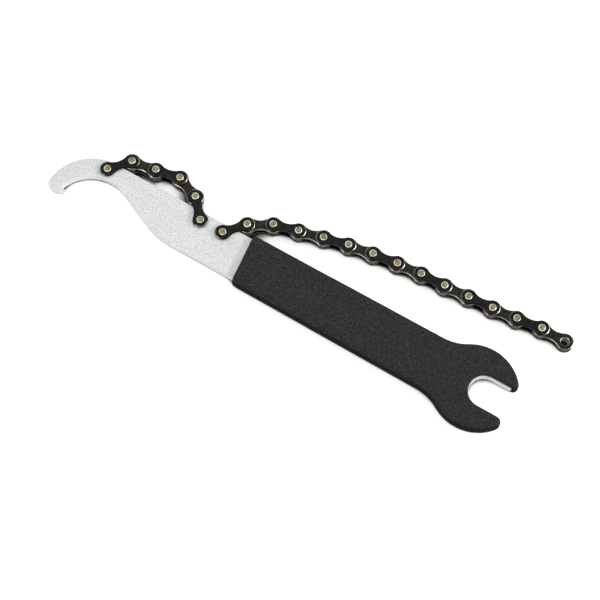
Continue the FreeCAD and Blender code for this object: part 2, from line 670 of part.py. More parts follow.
def dipped_grip():
    """The soft coat dipped over the handle and wrench head, open at its mouth and along the jaw."""
    blank = new_body("grip_blank")
    outline = new_sketch(blank, "outline")
    mouth = handle_outline(outline)
    full_height = LEVER_THICK + 2 * size("dip_thick")
    coat = pad(blank, outline, f"{LEVER_THICK_RULE} + 2 * {cell('dip_thick')}")
    doc.recompute()
    grow = size("dip_side")
    half = size("lever_half_width") + grow
    tips = [HeadSide(side, grow, half, size("dip_taper")).tip() for side in (1, -1)]
    tip_rule = f"{cell('prong_round')} + {cell('dip_side')} / 2"
    coat = round_edges(blank, coat, upright_edges(coat.Shape, tips), tip_rule)
    jaw = new_sketch(blank, "jaw")
    jaw_outline(jaw)
    coat = pocket_through(blank, jaw)
    for corner, name in zip(jaw_corners(tips), ("upper", "lower")):
        corner_rule = cell(f"dip_{name}_corner_round")
        coat = round_edges(blank, coat, upright_edges(coat.Shape, [corner]), corner_rule)
    rims = rim_names(coat.Shape, mouth, 0.0, full_height)
    round_edges(blank, coat, rims, cell("dip_edge_round"))

    core = doc.addObject("Part::Feature", "grip_core")
    core.Shape = lever.Shape.copy()
    grip = doc.addObject("Part::Cut", "dipped_grip")
    grip.Label = "dipped_grip"
    grip.Base = blank
    grip.Tool = core
    return grip


first_rivet, second_rivet, long_rivet = (
    Vector(x, RIVET_Y, 0) for x in (HOOK_RIVET_X, LOOP_RIVET_X, LONG_RIVET_X)
)
slack_share = size("short_chain_slack") / (SHORT_LINKS * size("pitch"))
short_pivots = [first_rivet]
for climb in SHORT_CLIMB_ANGLES:
    short_pivots.append(short_pivots[-1] + polar(climb * math.sqrt(slack_share), size("pitch")))
closing = second_rivet - short_pivots[-1]
closing_bend = math.degrees(math.acos(closing.Length / (2 * size("pitch"))))
short_pivots.append(short_pivots[-1] + polar(angle_at(Vector(), closing) + closing_bend, size("pitch")))
short_pivots.append(second_rivet)

long_pivots = [long_rivet]
for heading in LONG_HEADINGS:
    long_pivots.append(long_pivots[-1] + polar(heading, size("pitch")))

lever = lever_plate()
doc.recompute()
nodes = [lever, dipped_grip()]


def chain(prefix, pivots, number_format, open_pivot=None):
    """A run of alternating outer and inner links; the inner links carry a roller at each end."""
    for i, (start, stop) in enumerate(zip(pivots, pivots[1:])):
        number = format(i + 1, number_format)
        heading = angle_at(start, stop)
        link = f"{prefix}_link_{number}"
        if i % 2 == 0:
            nodes.append(outer_plates(f"{link}_plates", start, heading))
            nodes.append(link_pins(f"{link}_pins", start, heading))
            continue
        loose = start is open_pivot
        nodes.append(inner_plate(f"{link}_top_plate", start, heading, False, loose))
        nodes.append(inner_plate(f"{link}_bottom_plate", start, heading, True, loose))
        for end, pivot in enumerate((start, stop)):
            roller_number = format(i + 1 + end, number_format)
            nodes.append(roller(f"{prefix}_roller_{roller_number}", pivot))


chain("short", short_pivots, "d", open_pivot=short_pivots[3])
chain("long", long_pivots, "02d")

doc.recompute()
for item in doc.Objects:
    if {"Invalid", "Error"} & set(item.State):
        raise RuntimeError(f"{item.Label} failed: {item.State}")
os.makedirs("parts", exist_ok=True)
for node in nodes:
    shape = node.Shape
    if shape.isNull() or not shape.isValid():
        raise RuntimeError(f"{node.Label} has no valid shape")
    shape.exportStep(f"parts/{node.Label}.step")
print(len(nodes), "nodes,", sum(len(node.Shape.Solids) for node in nodes), "solids")
print("short pivots", [(round(p.x, 3), round(p.y, 3)) for p in short_pivots])
print("long pivots", [(round(p.x, 3), round(p.y, 3)) for p in long_pivots])
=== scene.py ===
"""Looks of a bicycle chain whip: a steel lever, a dipped grip and two lengths of roller chain."""

import json
import logging
import math
from dataclasses import dataclass, field, replace
from enum import Enum
from typing import Optional, Union

import bmesh
import bpy
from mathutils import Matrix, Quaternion, Vector
from mathutils.geometry import tessellate_polygon

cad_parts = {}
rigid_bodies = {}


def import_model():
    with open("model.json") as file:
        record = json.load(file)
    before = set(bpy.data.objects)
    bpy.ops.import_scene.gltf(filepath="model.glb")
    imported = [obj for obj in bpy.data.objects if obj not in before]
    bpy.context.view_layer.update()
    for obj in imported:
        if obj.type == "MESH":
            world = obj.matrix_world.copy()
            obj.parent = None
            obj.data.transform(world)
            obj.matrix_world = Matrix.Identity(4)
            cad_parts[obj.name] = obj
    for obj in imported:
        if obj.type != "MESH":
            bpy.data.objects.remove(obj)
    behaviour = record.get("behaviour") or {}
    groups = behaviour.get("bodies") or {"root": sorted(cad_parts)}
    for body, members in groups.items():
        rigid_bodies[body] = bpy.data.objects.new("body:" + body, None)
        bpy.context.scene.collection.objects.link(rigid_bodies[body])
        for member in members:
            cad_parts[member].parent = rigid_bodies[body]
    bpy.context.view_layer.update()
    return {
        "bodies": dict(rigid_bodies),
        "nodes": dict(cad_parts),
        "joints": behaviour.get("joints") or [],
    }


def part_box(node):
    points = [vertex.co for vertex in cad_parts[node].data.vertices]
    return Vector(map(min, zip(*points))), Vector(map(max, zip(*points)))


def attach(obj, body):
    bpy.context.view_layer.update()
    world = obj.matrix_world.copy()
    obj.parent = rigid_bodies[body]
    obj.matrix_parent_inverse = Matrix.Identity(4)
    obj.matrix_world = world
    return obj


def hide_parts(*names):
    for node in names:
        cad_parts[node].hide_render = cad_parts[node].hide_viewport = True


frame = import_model()

LOG = logging.getLogger("chain_whip")
JOINTS = {joint["name"]: Vector(joint["pos_m"]) for joint in frame["joints"]}

MM = 0.001
PITCH = 12.7 * MM
BLACK = (0.0, 0.0, 0.0)
WHITE = (1.0, 1.0, 1.0)

# Points of the frame's loose triangles that lie nearer than this are one point.
WELD = 0.002 * MM

# Numbers stored on a mesh's points: how rubbed the metal is, where the point lies on its
# template, and how far the surface is turned on edge, which sets the grip's painted side shade.
WEAR = "wear"
SEAT = "seat"
FLANK = "painted_flank_shade"

# Nearly all of a noise lies in this span.
NOISE_SPAN = (0.3, 0.7)

# How far in from both its faces the middle of a rounded corner lies, as a share of its radius.
MID_CORNER = 1.0 - math.sqrt(0.5)

Colour = tuple[float, float, float]
Point = tuple[float, float, float]
Span = tuple[float, float]
Loop = list[tuple[float, float]]
Profile = list[tuple[float, float, float]]
Curve = tuple[tuple[float, float, float], ...]


class Slot(Enum):
    """Material slots that the record names."""

    LEVER = "lever_steel"
    GRIP = "grip_coat"
    OUTER = "outer_link_steel"
    INNER = "inner_link_steel"
    PIN = "pin_steel"
    ROLLER = "roller_steel"


class Template(Enum):
    """Chain pieces that are made once and copied."""

    OUTER_PLATE = "outer_plate"
    INNER_PLATE = "inner_plate"
    LOOSE_PLATE = "loose_plate"
    PIN = "riveted_pin"
    ROLLER = "roller"


@dataclass(frozen=True)
class Mottle:
    """One noise on a surface: blotches per metre, octaves and strength of the finer octaves."""

    scale: float
    octaves: float
    fineness: float


# Shader and geometry trees


class Val:
    """A socket of a node tree that does maths through Python's operators."""

    def __init__(self, owner: "Tree", socket: Optional[bpy.types.NodeSocket]) -> None:
        """Keeps the socket and the tree it belongs to."""
        self.owner = owner
        self.socket = socket

    def maths(self, operation: str, *others: Union[float, "Val"]) -> "Val":
        """Feeds this socket and others to one Math node."""
        inputs = dict(enumerate((self, *others)))
        return self.owner.node("ShaderNodeMath", inputs, operation=operation)

    def __add__(self, other: Union[float, "Val"]) -> "Val":
        """Sum."""
        return self.maths("ADD", other)

    def __sub__(self, other: Union[float, "Val"]) -> "Val":
        """Difference."""
        return self.maths("SUBTRACT", other)

    def __rsub__(self, other: float) -> "Val":
        """Difference from a number."""
        return self.owner.node("ShaderNodeMath", {0: other, 1: self}, operation="SUBTRACT")

    def __mul__(self, other: Union[float, "Val"]) -> "Val":
        """Product."""
        return self.maths("MULTIPLY", other)

    __radd__ = __add__
    __rmul__ = __mul__

    def band(self, low: float, high: float, start: float = 0.0, end: float = 1.0) -> "Val":
        """Maps the span low..high smoothly to start..end.

        Args:
            low: Value that gives start.
            high: Value that gives end.
            start: Result at low.
            end: Result at high.

        Returns:
            The mapped value.
        """
        inputs = {"Value": self, "From Min": low, "From Max": high, "To Min": start, "To Max": end}
        return self.owner.node("ShaderNodeMapRange", inputs, interpolation_type="SMOOTHSTEP")

    def blend(self, first: Union[Colour, "Val"], second: Union[Colour, "Val"]) -> "Val":
        """Mixes two colours by this value.

        Args:
            first: Colour where this value is 0.
            second: Colour where this value is 1.

        Returns:
            The mixed colour.
        """
        inputs = {0: self, 6: first, 7: second}
        return self.owner.node("ShaderNodeMix", inputs, out=2, data_type="RGBA")


class Tree:
    """A node tree with one method that makes its nodes."""

    def __init__(self, tree: bpy.types.NodeTree) -> None:
        """Keeps the tree."""
        self.tree = tree

    def node(self, kind: str, inputs: Optional[dict] = None, out: Union[int, str] = 0,
             **settings: object) -> Val:
        """Makes one node, sets it and links or fills its inputs.

        Args:
            kind: Blender's type name of the node.
            inputs: Values or sockets by input name or number.
            out: Name or number of the output to return.
            settings: Properties of the node.

        Returns:
            The chosen output.
        """
        made = self.tree.nodes.new(kind)
        for key, value in settings.items():
            setattr(made, key, value)
        for key, value in (inputs or {}).items():
            if isinstance(value, Val):
                self.tree.links.new(value.socket, made.inputs[key])
            elif isinstance(value, tuple) and made.inputs[key].type == "RGBA":
                made.inputs[key].default_value = (*value, 1.0)
            else:
                made.inputs[key].default_value = value
        return Val(self, made.outputs[out] if made.outputs else None)


class Graph(Tree):
    """A material's node tree."""

    def __init__(self, name: str) -> None:
        """Makes an empty material.

        Args:
            name: The material's name.
        """
        self.material = bpy.data.materials.new(name)
        self.material.use_nodes = True
        super().__init__(self.material.node_tree)
        self.tree.nodes.clear()

    def place(self) -> Val:
        """Object coordinates."""
        return self.node("ShaderNodeTexCoord", out="Object")

    def noise(self, mottle: Mottle) -> Val:
        """Noise on the object's own coordinates, nearly all of it in NOISE_SPAN."""
        inputs = {"Vector": self.place(), "Scale": mottle.scale, "Detail": mottle.octaves,
                  "Roughness": mottle.fineness}
        return self.node("ShaderNodeTexNoise", inputs)

    def cells(self, scale: float) -> Val:
        """Distance to the nearest of many scattered points, scale of them per metre."""
        return self.node("ShaderNodeTexVoronoi", {"Vector": self.place(), "Scale": scale}, out="Distance")

    def attribute(self, name: str, out: str = "Fac") -> Val:
        """A number or, through another output, a vector stored on the mesh."""
        return self.node("ShaderNodeAttribute", out=out, attribute_name=name)

    def from_pivot(self) -> Val:
        """Measures the distance from the nearer pivot of a link, on its template's coordinates.

        Returns:
            The distance in metres.
        """
        seat = self.attribute(SEAT, "Vector")
        along, across = (self.node("ShaderNodeSeparateXYZ", {"Vector": seat}, out=axis) for axis in "XY")
        nearer = (along - PITCH / 2.0).maths("ABSOLUTE") - PITCH / 2.0
        return (nearer * nearer + across * across).maths("SQRT")

    def bump(self, height: Val, depth: float, strength: float) -> Val:
        """A normal bent by a height, where a height of 1 stands for depth in metres."""
        return self.node("ShaderNodeBump", {"Height": height, "Distance": depth, "Strength": strength})

    def finish(self, **inputs: object) -> bpy.types.Material:
        """Ends the tree in a Principled shader.

        Args:
            inputs: Shader inputs by name, with _ for each space.

        Returns:
            The material.
        """
        named = {key.replace("_", " "): value for key, value in inputs.items()}
        shader = self.node("ShaderNodeBsdfPrincipled", named)
        self.node("ShaderNodeOutputMaterial", {"Surface": shader})
        return self.material


class Recipe(Tree):
    """A geometry tree with named inputs."""

    def __init__(self, name: str, inputs: dict[str, str]) -> None:
        """Makes the tree.

        Args:
            name: The tree's name.
            inputs: Socket type of each named input.
        """
        super().__init__(bpy.data.node_groups.new(name, "GeometryNodeTree"))
        self.tree.is_modifier = True
        for label, kind in {"Geometry": "NodeSocketGeometry", **inputs}.items():
            self.tree.interface.new_socket(label, in_out="INPUT", socket_type=kind)
        self.tree.interface.new_socket("Geometry", in_out="OUTPUT", socket_type="NodeSocketGeometry")

    def given(self, label: str) -> Val:
        """One of the tree's named inputs."""
        return self.node("NodeGroupInput", out=label)

    def close(self, geometry: Val) -> None:
        """Realizes the instances, sets the material and ends the tree.

        Args:
            geometry: What the tree has made.
        """
        real = self.node("GeometryNodeRealizeInstances", {"Geometry": geometry})
        dressed = self.node("GeometryNodeSetMaterial", {"Geometry": real, "Material": self.given("Finish")})
        self.node("NodeGroupOutput", {"Geometry": dressed})

    def apply(self, name: str, mesh: bpy.types.Mesh, **values: object) -> bpy.types.Object:
        """Runs the tree on a mesh and keeps the result as a plain mesh.

        Args:
            name: Name of the finished piece.
            mesh: Mesh that the tree starts from.
            values: Named inputs.

        Returns:
            The finished piece, at the origin.
        """
        draft = bpy.data.objects.new(name + "_draft", mesh)
        bpy.context.scene.collection.objects.link(draft)
        modifier = draft.modifiers.new("recipe", "NODES")
        modifier.node_group = self.tree
        for item in self.tree.interface.items_tree:
            if item.in_out == "INPUT" and item.name in values:
                modifier[item.identifier] = values[item.name]
        result = plain_mesh(draft)
        bpy.data.objects.remove(draft)
        return add_piece(name, result)


def copies_recipe() -> Recipe:
    """Makes the tree that sets a row of copies of its mesh and turns the row into place.

    Returns:
        The tree.
    """
    recipe = Recipe("row_of_copies", {
        "Count": "NodeSocketInt", "First": "NodeSocketVector", "Step": "NodeSocketVector",
        "Turn": "NodeSocketVector", "Start": "NodeSocketVector", "Heading": "NodeSocketFloat",
        "Finish": "NodeSocketMaterial"})
    line = recipe.node("GeometryNodeMeshLine", {
        "Count": recipe.given("Count"), "Start Location": recipe.given("First"),
        "Offset": recipe.given("Step")})
    index = recipe.node("GeometryNodeInputIndex")
    turn = recipe.node("ShaderNodeVectorMath", {0: recipe.given("Turn"), 3: index}, operation="SCALE")
    row = recipe.node("GeometryNodeInstanceOnPoints", {
        "Points": line, "Instance": recipe.given("Geometry"), "Rotation": turn})
    heading = recipe.node("ShaderNodeCombineXYZ", {"Z": recipe.given("Heading")})
    placed = recipe.node("GeometryNodeTransform", {
        "Geometry": row, "Translation": recipe.given("Start"), "Rotation": heading})
    recipe.close(placed)
    return recipe


def coat_recipe() -> Recipe:
    """Makes the tree that sinks a soft coat's surface by a smooth noise and marks its flanks for the
    painted side shade.

    Returns:
        The tree.
    """
    recipe = Recipe("uneven_coat", {
        "Depth": "NodeSocketFloat", "Scale": "NodeSocketFloat", "Octaves": "NodeSocketFloat",
        "Finish": "NodeSocketMaterial"})
    waves = recipe.node("ShaderNodeTexNoise", {
        "Scale": recipe.given("Scale"), "Detail": recipe.given("Octaves")})
    normal = recipe.node("GeometryNodeInputNormal")
    outward = waves * recipe.given("Depth") * -1.0
    offset = recipe.node("ShaderNodeVectorMath", {0: normal, 3: outward}, operation="SCALE")
    sunk = recipe.node("GeometryNodeSetPosition", {"Geometry": recipe.given("Geometry"), "Offset": offset})
    rise = recipe.node("ShaderNodeSeparateXYZ", {"Vector": normal}, out="Z")
    marked = recipe.node("GeometryNodeStoreNamedAttribute", {
        "Geometry": sunk, "Name": FLANK, "Value": 1.0 - rise.maths("ABSOLUTE")},
        data_type="FLOAT", domain="POINT")
    recipe.close(marked)
    return recipe


# Meshes


def plain_mesh(source: bpy.types.Object) -> bpy.types.Mesh:
    """Works an object's modifiers into a mesh of its own.

    Args:
        source: The object.

    Returns:
        The mesh.
    """
    bpy.context.view_layer.update()
    evaluated = source.evaluated_get(bpy.context.evaluated_depsgraph_get())
    return bpy.data.meshes.new_from_object(evaluated)


def add_piece(name: str, mesh: bpy.types.Mesh) -> bpy.types.Object:
    """Puts a mesh in the scene as an object at the origin.

    Args:
        name: Name of the object and of its mesh.
        mesh: The mesh.

    Returns:
        The object.
    """
    mesh.name = name
    piece = bpy.data.objects.new(name, mesh)
    bpy.context.scene.collection.objects.link(piece)
    return piece


def mount_piece(piece: bpy.types.Object, body: str, slot: Slot, *nodes: str) -> None:
    """Makes a finished piece move with a body and stand for CAD nodes.

    Args:
        piece: The finished piece.
        body: Name of the body that carries it.
        slot: Material slot of its finish. Not used.
        nodes: CAD nodes that it stands for.
    """
    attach(piece, body)
    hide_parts(*nodes)
    LOG.info("%s rides on %s, %d faces", piece.name, body, len(piece.data.polygons))


class Builder:
    """Collects points, their wear and faces for one mesh."""

    def __init__(self) -> None:
        """Starts empty."""
        self.points: list[Point] = []
        self.wear: list[float] = []
        self.faces: list[tuple[int, ...]] = []

    def ring(self, loop: Loop, height: float, wear: Union[float, list[float]]) -> list[int]:
        """Adds a closed loop of points at one height.

        Args:
            loop: The loop's x and y.
            height: Its z.
            wear: How rubbed bright it is, 0 to 1, all along or point by point.

        Returns:
            Numbers of the new points.
        """
        first = len(self.points)
        self.points += [(x, y, height) for x, y in loop]
        self.wear += wear if isinstance(wear, list) else [wear] * len(loop)
        return list(range(first, len(self.points)))

    def wall(self, lower: list[int], upper: list[int]) -> None:
        """Joins two loops of the same length by a band of faces.

        Args:
            lower: Points of one loop.
            upper: Points of the other.
        """
        count = len(lower)
        for i in range(count):
            j = (i + 1) % count
            self.faces.append((lower[i], lower[j], upper[j], upper[i]))

    def cap(self, outline: list[int], holes: list[list[int]], up: bool) -> None:
        """Fills a flat face between an outline and its holes.

        Args:
            outline: Points of the outer loop.
            holes: Points of each hole.
            up: Whether the face looks up.
        """
        loops = [outline, *holes]
        flat = [point for loop in loops for point in loop]
        coords = [[Vector(self.points[i]) for i in loop] for loop in loops]
        for a, b, c in tessellate_polygon(coords):
            face = (flat[a], flat[b], flat[c])
            pa, pb, pc = (Vector(self.points[i]) for i in face)
            if ((pb - pa).cross(pc - pa).z > 0) != up:
                face = face[::-1]
            self.faces.append(face)

    def mesh(self, template: Template) -> bpy.types.Mesh:
        """Makes the mesh, smooth and with its wear and own coordinates stored on the points.

        Args:
            template: What the mesh is.

        Returns:
            The mesh.
        """
        made = bpy.data.meshes.new(template.value)
        made.from_pydata(self.points, [], self.faces)
        made.attributes.new(WEAR, "FLOAT", "POINT").data.foreach_set("value", self.wear)
        flat = [value for point in self.points for value in point]
        made.attributes.new(SEAT, "FLOAT_VECTOR", "POINT").data.foreach_set("vector", flat)
        made.shade_smooth()
        made.validate()
        return made


def circle(radius: float, count: int, centre_x: float = 0.0) -> Loop:
    """Points of a circle, counter-clockwise."""
    angles = [2.0 * math.pi * i / count for i in range(count)]
    return [(centre_x + radius * math.cos(a), radius * math.sin(a)) for a in angles]


def arc(centre: tuple[float, float], radius: float, start: float, end: float, count: int) -> Loop:
    """Points along an arc in count steps, its last point left out."""
    angles = [start + (end - start) * i / count for i in range(count)]
    return [(centre[0] + radius * math.cos(a), centre[1] + radius * math.sin(a)) for a in angles]


def turned(builder: Builder, profile: Profile, count: int, closed: bool, centre_x: float = 0.0) -> None:
    """Adds a body of revolution about a line along Z.

    Args:
        builder: Mesh that takes it.
        profile: Radius, height and wear of each point, lowest outside first where it is closed.
        count: Points round the circle.
        closed: Whether the last point joins the first.
        centre_x: Place of the line.
    """
    rings = []
    for radius, height, wear in profile:
        if radius <= 0.0:
            builder.points.append((centre_x, 0.0, height))
            builder.wear.append(wear)
            rings.append([len(builder.points) - 1])
        else:
            rings.append(builder.ring(circle(radius, count, centre_x), height, wear))
    if closed:
        rings.append(rings[0])
    for lower, upper in zip(rings, rings[1:]):
        if len(lower) == 1:
            builder.faces += [(lower[0], upper[(i + 1) % count], upper[i]) for i in range(count)]
        elif len(upper) == 1:
            builder.faces += [(lower[i], lower[(i + 1) % count], upper[0]) for i in range(count)]
        else:
            builder.wall(lower, upper)


# Finishes


@dataclass(frozen=True)
class BlastedSteel:
    """Bare steel, blasted to a fine pale mottle."""

    dark: Colour = (0.54, 0.555, 0.57)
    pale: Colour = (0.93, 0.935, 0.945)
    grain: Mottle = Mottle(1700.0, 3.0, 0.7)
    grain_tones: Span = (0.34, 0.68)
    rough: Span = (0.58, 0.72)
    metallic: float = 0.35
    relief: float = 0.06 * MM
    relief_strength: float = 0.6

    def build(self) -> bpy.types.Material:
        """Makes the material.

        Returns:
            The material.
        """
        g = Graph("blasted_steel")
        grain = g.noise(self.grain)
        tone = grain.band(*self.grain_tones)
        return g.finish(
            Base_Color=tone.blend(self.dark, self.pale),
            Metallic=self.metallic,
            Roughness=grain.band(*NOISE_SPAN, *self.rough),
            Normal=g.bump(grain, self.relief, self.relief_strength))


@dataclass(frozen=True)
class DippedPlastic:
    """Black soft plastic with a fine stipple whose crests carry painted glints, and with painted shade
    where it is turned on edge.
    """

    base: Colour = (0.0142, 0.0154, 0.0147)
    # Painted glints: a lighter colour on the stipple crests.
    painted_crest_glint: Colour = (0.039, 0.042, 0.04)
    # Painted shade: a darker colour where the coat turns on edge.
    painted_flank_shade: Colour = (0.008, 0.0085, 0.008)
    stipple: float = 2100.0
    fine: Mottle = Mottle(3360.0, 2.0, 0.6)
    share: float = 0.6
    crest_heights: Span = (0.48, 0.9)
    flank_turn: Span = (0.1, 0.8)
    rough_heights: Span = (0.3, 0.8)
    rough: Span = (0.5, 0.65)
    shine_heights: Span = (0.4, 0.85)
    shine: Span = (0.02, 0.4)
    shine_rough: float = 0.35
    flank_shine: float = 0.3
    relief: float = 0.12 * MM
    relief_strength: float = 0.7

    def build(self) -> bpy.types.Material:
        """Makes the material.

        Returns:
            The material.
        """
        g = Graph("dipped_plastic")
        height = g.cells(self.stipple) * self.share + g.noise(self.fine) * self.share
        # Painted highlight: the stipple crests are lighter, standing in for glints.
        tone = height.band(*self.crest_heights).blend(self.base, self.painted_crest_glint)
        # Painted shade: the colour darkens where the coat turns on edge, and its shine is weaker there too.
        top = g.attribute(FLANK).band(*self.flank_turn, 1.0, 0.0)
        shine = height.band(*self.shine_heights, *self.shine)
        return g.finish(
            Base_Color=top.blend(self.painted_flank_shade, tone),
            Roughness=height.band(*self.rough_heights, *self.rough),
            Specular_IOR_Level=0.0,
            Coat_Weight=shine * top.band(0.0, 1.0, self.flank_shine, 1.0),
            Coat_Roughness=self.shine_rough,
            Normal=g.bump(height, self.relief, self.relief_strength))


@dataclass(frozen=True)
class OxideSteel:
    """Dark oiled steel, bare on its worn rims and, by choice, in a ring round each pivot."""

    name: str
    dark: Colour
    warm: Colour
    bare: Colour = (0.46, 0.45, 0.38)
    blotch: Mottle = Mottle(520.0, 4.0, 0.65)
    grain: Mottle = Mottle(3200.0, 2.0, 0.5)
    warm_blotches: Span = (0.38, 0.66)
    ring_inside: Span = (2.5 * MM, 2.9 * MM)
    ring_outside: Span = (3.9 * MM, 4.4 * MM)
    ring_wear: float = 0.0
    bare_wear: Span = (0.35, 0.95)
    gloss: Span = (0.22, 0.42)
    relief: float = 0.02 * MM
    relief_strength: float = 0.4

    def build(self) -> bpy.types.Material:
        """Makes the material.

        Returns:
            The material.
        """
        g = Graph(self.name)
        blotch = g.noise(self.blotch)
        grain = g.noise(self.grain)
        oxide = blotch.band(*self.warm_blotches).blend(self.dark, self.warm)
        reach = g.from_pivot()
        ring = reach.band(*self.ring_inside) * (1.0 - reach.band(*self.ring_outside))
        wear = g.attribute(WEAR) + ring * self.ring_wear
        worn = (wear * (blotch + grain)).band(*self.bare_wear)
        rough = (grain * 0.5 + blotch * 0.5).band(*NOISE_SPAN, *self.gloss)
        return g.finish(
            Base_Color=worn.blend(oxide, self.bare),
            Metallic=1.0,
            Roughness=rough,
            Normal=g.bump(grain, self.relief, self.relief_strength))


@dataclass(frozen=True)
class RivetSteel:
    """Bright pin ends with a mottled, yellowish centre that is stained here and there."""

    bright: Colour = (0.85, 0.84, 0.78)
    centre: Colour = (0.32, 0.30, 0.15)
    dull: Colour = (0.07, 0.066, 0.035)
    stain: Colour = (0.27, 0.15, 0.045)
    blotch: Mottle = Mottle(1500.0, 3.0, 0.6)
    patch: Mottle = Mottle(420.0, 1.0, 0.5)
    rust: Mottle = Mottle(900.0, 2.0, 0.6)
    centre_blotches: Span = (0.38, 0.54)
    stain_edge: Span = (0.54, 0.62)
    patch_share: float = 1.5
    bright_wear: Span = (1.3, 1.7)
    gloss: Span = (0.22, 0.42)
    metallic: float = 0.9
    relief: float = 0.03 * MM
    relief_strength: float = 0.5

    def build(self) -> bpy.types.Material:
        """Makes the material.

        Returns:
            The material.
        """
        g = Graph("rivet_steel")
        blotch = g.noise(self.blotch)
        mottled = blotch.band(*self.centre_blotches).blend(self.dull, self.centre)
        core = g.noise(self.rust).band(*self.stain_edge).blend(mottled, self.stain)
        ring = (g.attribute(WEAR) + g.noise(self.patch) * self.patch_share).band(*self.bright_wear)
        return g.finish(
            Base_Color=ring.blend(core, self.bright),
            Metallic=self.metallic,
            Roughness=blotch.band(*NOISE_SPAN, *self.gloss),
            Normal=g.bump(blotch, self.relief, self.relief_strength))


@dataclass(frozen=True)
class PaleFloor:
    """Pale floor, white to the camera and in reflections.

    Where the part hides the floor from above, the camera sees painted shade: the floor is black
    there and has no glow. Open sky, as a share, runs from none to all of the glow over the shade band.
    """

    pale: Colour = (0.8, 0.8, 0.8)
    glow: Colour = (0.55, 0.55, 0.55)
    rough: float = 0.9
    specular: float = 0.1
    shade_reach: float = 7.0 * MM
    shade_band: Span = (0.34, 0.54)
    shade_samples: int = 24

    def build(self) -> bpy.types.Material:
        """Makes the material.

        Returns:
            The material.
        """
        g = Graph("pale_floor")
        camera, glossy, through = (g.node("ShaderNodeLightPath", out=f"Is {ray} Ray")
                                   for ray in ("Camera", "Glossy", "Transmission"))
        open_sky = g.node("ShaderNodeAmbientOcclusion", {"Distance": self.shade_reach}, out="AO",
                          samples=self.shade_samples)
        # Painted shade: where little open sky reaches the floor, its colour turns black and it stops
        # glowing to the camera.
        painted_floor_shade = camera * (1.0 - open_sky.band(*self.shade_band))
        shown = (camera + glossy + through).maths("MINIMUM", 1.0) - painted_floor_shade
        return g.finish(
            Base_Color=painted_floor_shade.blend(self.pale, BLACK),
            Roughness=self.rough,
            Specular_IOR_Level=self.specular,
            Emission_Color=shown.blend(BLACK, self.glow),
            Emission_Strength=1.0)


# Sub-assemblies


